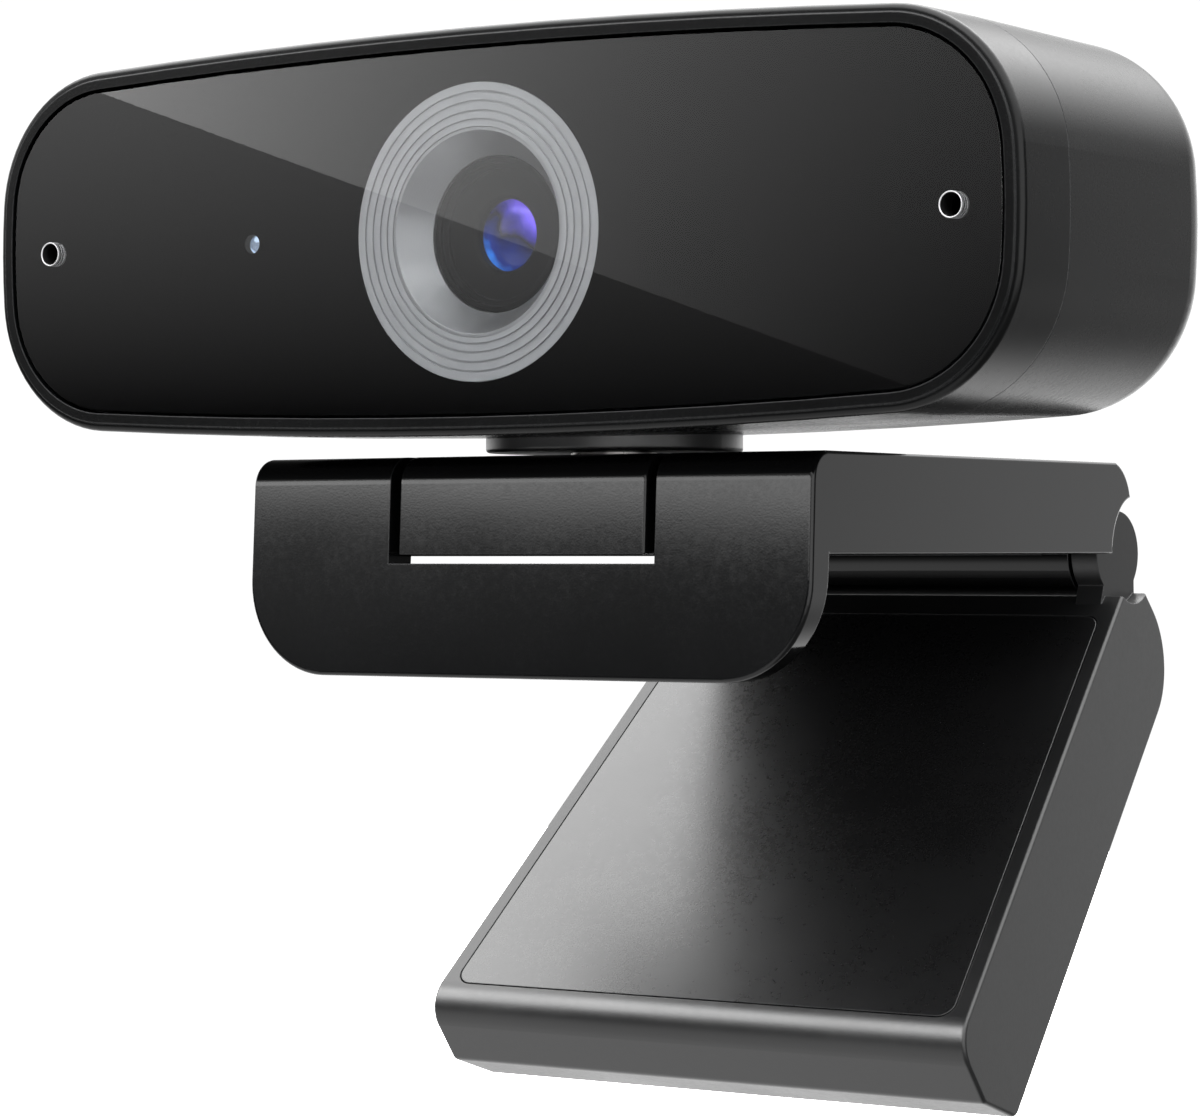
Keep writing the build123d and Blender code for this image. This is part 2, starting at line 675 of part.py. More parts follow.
def make_leg_cover():
    body = leg_trapezoid(PAD_MARGIN + 0.12, 6.52, 50.18, LEG_FRONT - 2.17, LEG_FRONT - 0.95, 1.3)
    for x, s in LEG_SCREWS:
        body -= leg_rod(x, s, -5, 0, 0.9)
        body -= leg_rod(x, s, LEG_FRONT - 1.6, 0, 1.7)
    return body


def make_leg_pad():
    return leg_trapezoid(PAD_MARGIN + 0.12, 6.52, 50.18, LEG_FRONT - 0.92, LEG_FRONT + 0.02, 1.3)


def make_leg_screws():
    body = None
    for x, s in LEG_SCREWS:
        screw = leg_rod(x, s, LEG_BACK + 2.8, LEG_FRONT - 1.55, 0.75)
        screw += leg_rod(x, s, LEG_FRONT - 1.57, LEG_FRONT - 1.0, 1.6)
        screw -= leg_box(x - 1.1, x + 1.1, s - 0.18, s + 0.18, LEG_FRONT - 1.25, 0)
        body = screw if body is None else body + screw
    return body


def make_tripod_nut():
    body = leg_rod(0, TRIPOD_S, LEG_BACK + 0.05, LEG_FRONT - 4.45, 4.5)
    for n in (LEG_BACK + 2.2, LEG_BACK + 4.0):
        groove = leg_rod(0, TRIPOD_S, n, n + 0.5, 5) - leg_rod(0, TRIPOD_S, n, n + 0.5, 4.2)
        body -= groove
    return body - leg_rod(0, TRIPOD_S, LEG_BACK - 1, LEG_FRONT - 3, TRIPOD_R)


PIECES = {
    "front_bezel": make_front_bezel,
    "front_window": make_front_window,
    "window_mask": make_window_mask,
    "mic_sleeves": make_mic_sleeves,
    "lens_ring": make_lens_ring,
    "lens_cone": make_lens_cone,
    "lens_barrel": make_lens_barrel,
    "lens_front": make_lens_front,
    "lens_rear": make_lens_rear,
    "lens_holder": make_lens_holder,
    "image_filter": make_image_filter,
    "image_sensor": make_image_sensor,
    "camera_board": make_camera_board,
    "board_chips": make_board_chips,
    "board_connector": make_board_connector,
    "board_screws": make_board_screws,
    "status_light": make_status_light,
    "light_pipe": make_light_pipe,
    "board_light": make_board_light,
    "mic_gaskets": make_mic_gaskets,
    "mic_capsules": make_mic_capsules,
    "rear_housing": make_rear_housing,
    "housing_screws": make_housing_screws,
    "cord_gland": make_cord_gland,
    "neck_post": make_neck_post,
    "swivel_washer": make_swivel_washer,
    "swivel_shaft": make_swivel_shaft,
    "swivel_spring": make_swivel_spring,
    "swivel_nut": make_swivel_nut,
    "tilt_arm": make_tilt_arm,
    "bracket_shell": make_bracket_shell,
    "flap_pad": make_flap_pad,
    "beam_cover": make_beam_cover,
    "beam_pad": make_beam_pad,
    "cover_screws": make_cover_screws,
    "tilt_pin": make_tilt_pin,
    "tilt_washers": make_tilt_washers,
    "hinge_pin": make_hinge_pin,
    "hinge_springs": make_hinge_springs,
    "leg_shell": make_leg_shell,
    "leg_cover": make_leg_cover,
    "leg_pad": make_leg_pad,
    "leg_screws": make_leg_screws,
    "tripod_nut": make_tripod_nut,
}

os.makedirs("parts", exist_ok=True)
for name, make in PIECES.items():
    export_step(make(), "parts/" + name + ".step")
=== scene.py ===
"""Looks of a web camera on a folding screen clip.

Holds its finishes and small trim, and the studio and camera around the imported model.
"""
from __future__ import annotations

import logging
import math
from dataclasses import dataclass, field
from enum import Enum

import bmesh
import bpy
from mathutils import Matrix, Quaternion, Vector

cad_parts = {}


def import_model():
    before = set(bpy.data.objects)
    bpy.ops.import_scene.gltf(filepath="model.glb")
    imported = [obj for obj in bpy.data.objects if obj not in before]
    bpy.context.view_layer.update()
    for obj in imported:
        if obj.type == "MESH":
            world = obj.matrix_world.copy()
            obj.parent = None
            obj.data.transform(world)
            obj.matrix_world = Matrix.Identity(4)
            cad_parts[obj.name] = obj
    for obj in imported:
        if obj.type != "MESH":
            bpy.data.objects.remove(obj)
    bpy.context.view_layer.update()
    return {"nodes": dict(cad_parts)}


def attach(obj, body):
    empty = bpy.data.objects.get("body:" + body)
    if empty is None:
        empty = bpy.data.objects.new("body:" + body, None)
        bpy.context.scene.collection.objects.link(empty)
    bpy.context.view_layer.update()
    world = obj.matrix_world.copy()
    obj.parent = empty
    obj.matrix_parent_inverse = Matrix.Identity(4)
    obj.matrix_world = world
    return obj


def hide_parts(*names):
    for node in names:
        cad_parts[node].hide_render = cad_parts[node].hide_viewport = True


MM = 0.001
RGB = tuple[float, float, float]
Span = tuple[float, float]
NONE_TO_ALL: Span = (0.0, 1.0)
NOISE_SPAN: Span = (0.3, 0.7)
log = logging.getLogger("web_camera")


# --- Shader building ---

class Shader:
    """A material's node tree, with short calls that add nodes and join them."""

    bevel_samples = 4
    flat_to_edge: Span = (0.995, 0.80)

    def __init__(self, name: str) -> None:
        """Start a material with nothing but its Principled shader and its output.

        Args:
            name: the material's name.
        """
        self.material = bpy.data.materials.new(name)
        self.material.use_nodes = True
        self.tree = self.material.node_tree
        self.tree.nodes.clear()
        self.output = self.add("ShaderNodeOutputMaterial")
        self.skin = self.add("ShaderNodeBsdfPrincipled")
        self.join(self.skin.outputs["BSDF"], self.output.inputs["Surface"])
        self.place = self.add("ShaderNodeTexCoord").outputs["Object"]

    def add(self, kind: str, **settings: object) -> bpy.types.Node:
        """Add a node.

        Args:
            kind: the node's type name.
            settings: attributes to set on it.

        Returns:
            The new node.
        """
        node = self.tree.nodes.new(kind)
        for key, value in settings.items():
            setattr(node, key, value)
        return node

    def join(self, source: bpy.types.NodeSocket, target: bpy.types.NodeSocket) -> None:
        """Link one socket to another."""
        self.tree.links.new(source, target)

    def set(self, **values: object) -> None:
        """Set constants on the Principled shader; an underscore in a name stands for a space."""
        for key, value in values.items():
            self.skin.inputs[key.replace("_", " ")].default_value = value

    def noise(self, size_mm: float, detail: float = 2.0, rough: float = 0.5) -> bpy.types.NodeSocket:
        """Noise in the object's own coordinates.

        Args:
            size_mm: size of the noise's features.
            detail: octaves of finer noise.
            rough: how strong the finer octaves are.

        Returns:
            The noise value's socket, about 0.5 in the middle.
        """
        node = self.add("ShaderNodeTexNoise")
        node.inputs["Scale"].default_value = 1.0 / (size_mm * MM)
        node.inputs["Detail"].default_value = detail
        node.inputs["Roughness"].default_value = rough
        self.join(self.place, node.inputs["Vector"])
        return node.outputs["Fac"]

    def spread(self, value: bpy.types.NodeSocket, span: Span, to: Span) -> bpy.types.NodeSocket:
        """Map a value from one span to another.

        Args:
            value: the socket to read.
            span: the lowest and highest value read.
            to: what they become.

        Returns:
            The mapped socket.
        """
        node = self.add("ShaderNodeMapRange")
        self.join(value, node.inputs["Value"])
        node.inputs["From Min"].default_value, node.inputs["From Max"].default_value = span
        node.inputs["To Min"].default_value, node.inputs["To Max"].default_value = to
        return node.outputs["Result"]

    def maths(self, job: str, a: object, b: object = 0.0) -> bpy.types.NodeSocket:
        """Do sums on sockets or numbers.

        Args:
            job: the Math node's operation.
            a: first socket or number.
            b: second socket or number.

        Returns:
            The result's socket.
        """
        node = self.add("ShaderNodeMath", operation=job)
        for socket, value in zip(node.inputs, (a, b)):
            if isinstance(value, (int, float)):
                socket.default_value = value
            else:
                self.join(value, socket)
        return node.outputs[0]

    def mix(self, share: bpy.types.NodeSocket, low: object, high: object) -> bpy.types.NodeSocket:
        """Blend two colours.

        Args:
            share: how much of the second colour, 0 to 1.
            low: the first colour, or its socket.
            high: the second colour, or its socket.

        Returns:
            The blended colour's socket.
        """
        node = self.add("ShaderNodeMix", data_type="RGBA")
        self.join(share, node.inputs["Factor"])
        for socket, value in ((node.inputs[6], low), (node.inputs[7], high)):
            if isinstance(value, tuple):
                socket.default_value = (*value, 1.0)
            else:
                self.join(value, socket)
        return node.outputs[2]

    def rounded(self, radius_mm: float) -> bpy.types.NodeSocket:
        """The normal as it would be with sharp edges rounded.

        Args:
            radius_mm: the radius of the rounding.

        Returns:
            The normal's socket.
        """
        soft = self.add("ShaderNodeBevel", samples=self.bevel_samples)
        soft.inputs["Radius"].default_value = radius_mm * MM
        return soft.outputs["Normal"]

    def edges(self, radius_mm: float) -> bpy.types.NodeSocket:
        """How near a sharp edge a point is.

        Args:
            radius_mm: how far from the edge it reaches.

        Returns:
            A socket that is 0 on flat areas and 1 on edges.
        """
        soft = self.rounded(radius_mm)
        flat = self.add("ShaderNodeNewGeometry")
        dot = self.add("ShaderNodeVectorMath", operation="DOT_PRODUCT")
        self.join(soft, dot.inputs[0])
        self.join(flat.outputs["Normal"], dot.inputs[1])
        return self.spread(dot.outputs["Value"], self.flat_to_edge, NONE_TO_ALL)

    def bump(self, heights: list[tuple[bpy.types.NodeSocket, float]], round_mm: float = 0.0) -> None:
        """Give the shader a bumped normal.

        Args:
            heights: height sockets with their depth in millimetres.
            round_mm: radius by which sharp edges look broken, 0 for none.
        """
        normal = self.rounded(round_mm) if round_mm else None
        for height, depth_mm in heights:
            node = self.add("ShaderNodeBump")
            node.inputs["Distance"].default_value = depth_mm * MM
            self.join(height, node.inputs["Height"])
            if normal is not None:
                self.join(normal, node.inputs["Normal"])
            normal = node.outputs["Normal"]
        if normal is not None:
            self.join(normal, self.skin.inputs["Normal"])


# --- Finishes ---

@dataclass(frozen=True)
class MouldedPlastic:
    """Spark-textured or polished moulded plastic, with handling marks and rubbed edges."""

    name: str
    colour: RGB
    roughness: float
    level: float = 0.5
    grain_mm: float = 0.16
    grain_depth_mm: float = 0.004
    smudge: float = 0.03
    edge_radius_mm: float = 0.12
    edge_colour: RGB = (0.035, 0.036, 0.038)
    edge_share: float = 0.5
    edge_wear: float = 0.12
    edge_reach: float = 1.6
    cloud_mm: float = 14.0
    fleck_mm: float = 0.5
    fleck_gloss: Span = (-0.02, 0.03)
    shade: Span = (0.82, 1.2)
    sink_mm: float = 22.0
    sink_depth_mm: float = 0.03

    def make(self) -> bpy.types.Material:
        """Make the finish.

        Returns:
            The finished material.
        """
        s = Shader(self.name)
        s.set(Specular_IOR_Level=self.level, IOR=1.5)
        cloud = s.noise(self.cloud_mm, 4.0, 0.6)
        fleck = s.noise(self.fleck_mm, 3.0, 0.7)
        dark, light = (tuple(c * share for c in self.colour) for share in self.shade)
        base = s.mix(s.spread(cloud, NOISE_SPAN, NONE_TO_ALL), dark, light)
        rub = s.maths("MULTIPLY", s.edges(self.edge_radius_mm * self.edge_reach),
                      s.spread(fleck, (0.25, 0.65), (0.2, self.edge_share)))
        s.join(s.mix(rub, base, self.edge_colour), s.skin.inputs["Base Color"])
        rough = s.maths("ADD", s.spread(cloud, NOISE_SPAN, (-self.smudge, self.smudge)), self.roughness)
        rough = s.maths("ADD", rough, s.spread(fleck, NOISE_SPAN, self.fleck_gloss))
        s.join(s.maths("ADD", rough, s.maths("MULTIPLY", rub, self.edge_wear)), s.skin.inputs["Roughness"])
        grain = s.noise(self.grain_mm, 2.0, 0.6)
        sink = s.noise(self.sink_mm, 1.0, 0.3)
        s.bump([(sink, self.sink_depth_mm), (grain, self.grain_depth_mm)], self.edge_radius_mm)
        return s.material


@dataclass(frozen=True)
class ClearPanel:
    """Polished clear acrylic with a breath of haze."""

    name: str = "clear_panel"
    tint: RGB = (0.93, 0.94, 0.95)
    haze: Span = (0.0, 0.006)
    wave_mm: float = 30.0
    wave_depth_mm: float = 0.002

    def make(self) -> bpy.types.Material:
        """Make the finish.

        Returns:
            The finished material.
        """
        s = Shader(self.name)
        s.set(Base_Color=(*self.tint, 1.0), Transmission_Weight=1.0, IOR=1.49)
        haze = s.noise(9.0, 3.0, 0.6)
        s.join(s.spread(haze, NOISE_SPAN, self.haze), s.skin.inputs["Roughness"])
        s.bump([(s.noise(self.wave_mm, 0.0, 0.0), self.wave_depth_mm)])
        return s.material


@dataclass(frozen=True)
class PrintedBlack:
    """Black screen print behind the window."""

    name: str = "printed_black"
    dark: RGB = (0.0006, 0.0006, 0.0007)
    light: RGB = (0.001, 0.001, 0.0012)
    roughness: Span = (0.4, 0.5)

    def make(self) -> bpy.types.Material:
        """Make the finish.

        Returns:
            The finished material.
        """
        s = Shader(self.name)
        s.set(Specular_IOR_Level=0.0)
        mottle = s.noise(0.35, 3.0, 0.6)
        s.join(s.mix(mottle, self.dark, self.light), s.skin.inputs["Base Color"])
        s.join(s.spread(mottle, NOISE_SPAN, self.roughness), s.skin.inputs["Roughness"])
        s.bump([(mottle, 0.001)])
        return s.material


@dataclass(frozen=True)
class SatinSilver:
    """Blasted and anodised silver grey, as on the trim ring."""

    name: str
    colour: RGB
    roughness: float
    metallic: float
    turned_mm: float = 0.0
    gloss_range: float = 0.05
    blast_depth_mm: float = 0.003
    turned_depth_mm: float = 0.002
    edge_radius_mm: float = 0.06

    def make(self) -> bpy.types.Material:
        """Make the finish.

        Returns:
            The finished material.
        """
        s = Shader(self.name)
        s.set(Metallic=self.metallic, Specular_IOR_Level=0.5)
        blast = s.noise(0.11, 3.0, 0.7)
        cloud = s.noise(5.0, 3.0, 0.5)
        dark = tuple(c * 0.9 for c in self.colour)
        light = tuple(c * 1.1 for c in self.colour)
        s.join(s.mix(s.maths("MULTIPLY", s.maths("ADD", blast, cloud), 0.5), dark, light),
               s.skin.inputs["Base Color"])
        gloss = (self.roughness - self.gloss_range, self.roughness + self.gloss_range)
        s.join(s.spread(blast, NOISE_SPAN, gloss), s.skin.inputs["Roughness"])
        heights = [(blast, self.blast_depth_mm)]
        if self.turned_mm:
            heights.append((self.turning(s), self.turned_depth_mm))
        s.bump(heights, self.edge_radius_mm)
        return s.material

    def turning(self, s: Shader) -> bpy.types.NodeSocket:
        """Fine rings left by a lathe about the lens axis.

        Args:
            s: the shader being built.

        Returns:
            The rings' height socket.
        """
        wave = s.add("ShaderNodeTexWave", wave_type="RINGS", rings_direction="Y")
        wave.inputs["Scale"].default_value = 0.3 / (self.turned_mm * MM)
        wave.inputs["Distortion"].default_value = 0.4
        shift = s.add("ShaderNodeMapping")
        shift.inputs["Location"].default_value = (0.0, 0.0, -LensEye.axis_height_mm * MM)
        s.join(s.place, shift.inputs["Vector"])
        s.join(shift.outputs["Vector"], wave.inputs["Vector"])
        return wave.outputs["Fac"]


@dataclass(frozen=True)
class PaintedReflectionGlass:
    """Lens glass with a painted reflection: a colour ramp, violet on one side and blue to cyan on the other,
    set in its colour and in its glow, standing in for the coating's reflections.
    """

    name: str = "painted_reflection_glass"
    centre_mm: tuple[float, float, float] = (0.0, -12.8, 24.25)
    radius_mm: float = 3.4
    turn_degrees: float = 42.0
    # How strongly the painted reflection glows, so the lens shows its colours whatever light falls on it.
    glow: float = 0.5
    wobble: float = 0.08
    painted_reflection_stops: tuple[tuple[float, RGB], ...] = (
        (0.0, (0.5, 0.85, 1.0)), (0.10, (0.03, 0.25, 0.95)), (0.22, (0.003, 0.02, 0.2)),
        (0.50, (0.001, 0.001, 0.012)), (0.66, (0.03, 0.02, 0.30)), (0.84, (0.2, 0.12, 0.95)),
        (1.0, (0.08, 0.04, 0.5)))

    def make(self) -> bpy.types.Material:
        """Make the finish.

        Returns:
            The finished material.
        """
        s = Shader(self.name)
        s.set(IOR=1.6, Specular_IOR_Level=0.15, Roughness=0.03, Coat_Weight=0.1, Coat_Roughness=0.02)
        shift = s.add("ShaderNodeMapping", vector_type="TEXTURE")
        shift.inputs["Location"].default_value = tuple(c * MM for c in self.centre_mm)
        shift.inputs["Rotation"].default_value = (0.0, math.radians(self.turn_degrees), 0.0)
        shift.inputs["Scale"].default_value = (self.radius_mm * MM,) * 3
        s.join(s.place, shift.inputs["Vector"])
        split = s.add("ShaderNodeSeparateXYZ")
        s.join(shift.outputs["Vector"], split.inputs["Vector"])
        ramp = s.add("ShaderNodeValToRGB")
        while len(ramp.color_ramp.elements) < len(self.painted_reflection_stops):
            ramp.color_ramp.elements.new(0.5)
        for element, (where, colour) in zip(ramp.color_ramp.elements, self.painted_reflection_stops):
            element.position = where
            element.color = (*colour, 1.0)
        wobble = s.spread(s.noise(2.2, 2.0, 0.5), NOISE_SPAN, (-self.wobble, self.wobble))
        along = s.maths("ADD", s.spread(split.outputs["Z"], (-1.0, 1.0), NONE_TO_ALL), wobble)
        s.join(along, ramp.inputs["Fac"])
        # Painted reflection: the ramp's colours go into the base colour and the emission alike.
        s.join(ramp.outputs["Color"], s.skin.inputs["Base Color"])
        s.join(ramp.outputs["Color"], s.skin.inputs["Emission Color"])
        s.set(Emission_Strength=self.glow)
        return s.material


@dataclass(frozen=True)
class ClearDome:
    """Moulded clear light dome with a faint cold glow and two painted glints, catch lights set in its emission
    by which way its surface faces.
    """

    name: str = "clear_dome"
    painted_glints: float = 0.8
    glow: float = 0.03
    gloss: Span = (0.05, 0.16)

    def make(self) -> bpy.types.Material:
        """Make the finish.

        Returns:
            The finished material.
        """
        s = Shader(self.name)
        s.set(Base_Color=(0.75, 0.86, 1.0, 1.0), Transmission_Weight=0.85, IOR=1.49,
              Emission_Color=(0.62, 0.78, 1.0, 1.0))
        streak = s.noise(0.3, 2.0, 0.5)
        s.join(s.spread(streak, NOISE_SPAN, self.gloss), s.skin.inputs["Roughness"])
        # Painted glints: two catch lights in the emission, set by which way the surface faces, standing in for
        # reflections of the studio lights.
        painted_glints = s.maths("ADD", self.painted_glint(s, (0.30, -0.80, 0.52), (0.90, 0.98)),
                        self.painted_glint(s, (-0.50, -0.45, -0.74), (0.80, 0.93)))
        s.join(s.maths("ADD", s.maths("MULTIPLY", painted_glints, self.painted_glints), self.glow),
               s.skin.inputs["Emission Strength"])
        s.bump([(streak, 0.01)])
        return s.material

    def painted_glint(self, s: Shader, facing: tuple[float, float, float], span: Span) -> bpy.types.NodeSocket:
        """A soft painted glint: a catch light set in the dome's emission where its surface faces one way.

        Args:
            s: the shader being built.
            facing: which way the part of the dome with the painted glint faces.
            span: how closely the dome must face that way, where it starts and where it is full.

        Returns:
            The catch light's strength socket.
        """
        dot = s.add("ShaderNodeVectorMath", operation="DOT_PRODUCT")
        s.join(s.add("ShaderNodeTexCoord").outputs["Normal"], dot.inputs[0])
        dot.inputs[1].default_value = facing
        return s.spread(dot.outputs["Value"], span, NONE_TO_ALL)


@dataclass(frozen=True)
class SoftRubber:
    """Matt soft rubber with a fine leathery grain and a little dust."""

    name: str
    colour: RGB = (0.018, 0.018, 0.019)
    roughness: float = 0.6
    dust: RGB = (0.09, 0.09, 0.09)
    dust_share: float = 0.35
    cell_mm: float = 0.4

    def make(self) -> bpy.types.Material:
        """Make the finish.

        Returns:
            The finished material.
        """
        s = Shader(self.name)
        s.set(Specular_IOR_Level=0.4)
        dust = s.noise(0.25, 4.0, 0.7)
        base = s.mix(s.spread(dust, (0.58, 0.75), (0.0, self.dust_share)), self.colour, self.dust)
        s.join(base, s.skin.inputs["Base Color"])
        s.join(s.spread(dust, NOISE_SPAN, (self.roughness - 0.06, self.roughness + 0.1)),
               s.skin.inputs["Roughness"])
        cells = s.add("ShaderNodeTexVoronoi")
        cells.inputs["Scale"].default_value = 1.0 / (self.cell_mm * MM)
        s.join(s.place, cells.inputs["Vector"])
        s.bump([(cells.outputs["Distance"], 0.02), (dust, 0.006)], 0.2)
        return s.material


@dataclass(frozen=True)
class PlatedSteel:
    """Bright or blackened steel with fine lines."""

    name: str
    colour: RGB = (0.55, 0.54, 0.52)
    roughness: float = 0.28

    def make(self) -> bpy.types.Material:
        """Make the finish.

        Returns:
            The finished material.
        """
        s = Shader(self.name)
        s.set(Metallic=1.0)
        stain = s.noise(1.8, 4.0, 0.6)
        dark = tuple(c * 0.7 for c in self.colour)
        s.join(s.mix(s.spread(stain, (0.35, 0.7), NONE_TO_ALL), self.colour, dark),
               s.skin.inputs["Base Color"])
        s.join(s.spread(stain, NOISE_SPAN, (self.roughness - 0.06, self.roughness + 0.12)),
               s.skin.inputs["Roughness"])
        s.bump([(s.noise(0.12, 2.0, 0.6), 0.004)], 0.08)
        return s.material


@dataclass(frozen=True)
class CircuitBoard:
    """Solder-masked board with tracks under the lacquer."""

    name: str = "circuit_board"
    colour: RGB = (0.006, 0.06, 0.025)
    track_mm: float = 3.0
    track_light: float = 2.2
    roughness: Span = (0.25, 0.38)

    def make(self) -> bpy.types.Material:
        """Make the finish.

        Returns:
            The finished material.
        """
        s = Shader(self.name)
        tracks = s.add("ShaderNodeTexBrick")
        tracks.inputs["Scale"].default_value = 1.0 / (self.track_mm * MM)
        tracks.inputs["Mortar Size"].default_value = 0.05
        turn = s.add("ShaderNodeMapping")
        turn.inputs["Rotation"].default_value = (math.radians(90), 0.0, 0.0)
        s.join(s.place, turn.inputs["Vector"])
        s.join(turn.outputs["Vector"], tracks.inputs["Vector"])
        light = tuple(c * self.track_light for c in self.colour)
        s.join(s.mix(tracks.outputs["Fac"], self.colour, light), s.skin.inputs["Base Color"])
        s.join(s.spread(s.noise(2.0), NOISE_SPAN, self.roughness), s.skin.inputs["Roughness"])
        s.bump([(tracks.outputs["Fac"], 0.02)])
        return s.material


class Finish(Enum):
    """The finishes of the object's pieces."""

    HEAD_SHELL = MouldedPlastic("head_shell", (0.0012, 0.0013, 0.0014), 0.26, level=0.15)
    RIM = MouldedPlastic("rim_plastic", (0.0012, 0.0013, 0.0014), 0.24, level=0.16)
    CLIP = MouldedPlastic("clip_plastic", (0.002, 0.0021, 0.0023), 0.055, level=0.25,
                          grain_depth_mm=0.0008, smudge=0.015)
    LEG = MouldedPlastic("leg_plastic", (0.004, 0.0041, 0.0043), 0.34, level=0.43)
    LEG_FACE = MouldedPlastic("leg_face", (0.003, 0.003, 0.0032), 0.28, level=0.65, grain_depth_mm=0.004)
    NECK = MouldedPlastic("neck_plastic", (0.014, 0.014, 0.015), 0.40, level=0.9)
    INNER = MouldedPlastic("inner_plastic", (0.002, 0.002, 0.0022), 0.5)
    WHITE_PLASTIC = MouldedPlastic("connector_plastic", (0.62, 0.60, 0.55), 0.45)
    WINDOW = ClearPanel()
    PRINT = PrintedBlack()
    RING = SatinSilver("ring_silver", (0.32, 0.324, 0.332), 0.5, 0.2)
    CONE = SatinSilver("cone_silver", (0.29, 0.293, 0.298), 0.34, 0.7, turned_mm=0.12)
    BARREL = MouldedPlastic("barrel_black", (0.001, 0.001, 0.0012), 0.45, level=0.05)
    SLEEVE = MouldedPlastic("sleeve_grey", (0.5, 0.5, 0.51), 0.3)
    PAINTED_REFLECTION_GLASS = PaintedReflectionGlass()
    DOME = ClearDome()
    RUBBER = SoftRubber("rubber")
    STEEL = PlatedSteel("bright_steel")
    BLACK_STEEL = PlatedSteel("black_steel", (0.06, 0.06, 0.06), 0.35)
    BRASS = PlatedSteel("brass", (0.75, 0.55, 0.25), 0.3)
    BOARD = CircuitBoard()
    CHIP = MouldedPlastic("chip_plastic", (0.012, 0.012, 0.012), 0.5)


class FinishShelf:
    """Makes each finish once and hands it out."""

    def __init__(self) -> None:
        """Start with no finish made."""
        self.made: dict[Finish, bpy.types.Material] = {}

    def take(self, finish: Finish) -> bpy.types.Material:
        """The material of a finish.

        Args:
            finish: which finish.

        Returns:
            Its material, made on first use.
        """
        if finish not in self.made:
            self.made[finish] = finish.value.make()
        return self.made[finish]

    def dress(self, piece: bpy.types.Object, finish: Finish) -> None:
        """Put a finish in every material slot of a piece.

        Args:
            piece: the piece to dress.
            finish: which finish.
        """
        material = self.take(finish)
        if not piece.material_slots:
            piece.data.materials.append(material)
        for slot in piece.material_slots:
            slot.material = material


# --- The object ---

@dataclass
class SubAssembly:
    """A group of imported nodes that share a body."""

    shelf: FinishShelf
    nodes: dict[str, bpy.types.Object]
    finishes: dict[str, Finish] = field(default_factory=dict)

    def dress(self) -> None:
        """Give each node of the group its finish."""
        for name, finish in self.finishes.items():
            self.shelf.dress(self.nodes[name], finish)
            log.info("%s: %s", name, finish.name.lower())


@dataclass
class LensEye(SubAssembly):
    """Trim ring, cone, barrel and glass of the camera."""

    axis_height_mm = 24.25
    finishes: dict[str, Finish] = field(default_factory=lambda: {
        "lens_ring": Finish.RING,
        "lens_cone": Finish.CONE,
        "lens_barrel": Finish.BARREL,
        "lens_front": Finish.PAINTED_REFLECTION_GLASS,
        "lens_rear": Finish.PAINTED_REFLECTION_GLASS,
        "lens_holder": Finish.INNER,
        "image_filter": Finish.PAINTED_REFLECTION_GLASS,
        "image_sensor": Finish.CHIP,
    })


@dataclass
class Head(SubAssembly):
    """Housing, window, board and the small parts inside them."""

    finishes: dict[str, Finish] = field(default_factory=lambda: {
        "front_bezel": Finish.RIM,
        "front_window": Finish.WINDOW,
        "window_mask": Finish.PRINT,
        "rear_housing": Finish.HEAD_SHELL,
        "housing_screws": Finish.BLACK_STEEL,
        "cord_gland": Finish.RUBBER,
        "neck_post": Finish.NECK,
        "swivel_washer": Finish.STEEL,
        "camera_board": Finish.BOARD,
        "board_chips": Finish.CHIP,
        "board_connector": Finish.WHITE_PLASTIC,
        "board_screws": Finish.STEEL,
        "status_light": Finish.DOME,
        "light_pipe": Finish.DOME,
        "board_light": Finish.WHITE_PLASTIC,
        "mic_gaskets": Finish.RUBBER,
        "mic_capsules": Finish.STEEL,
    })


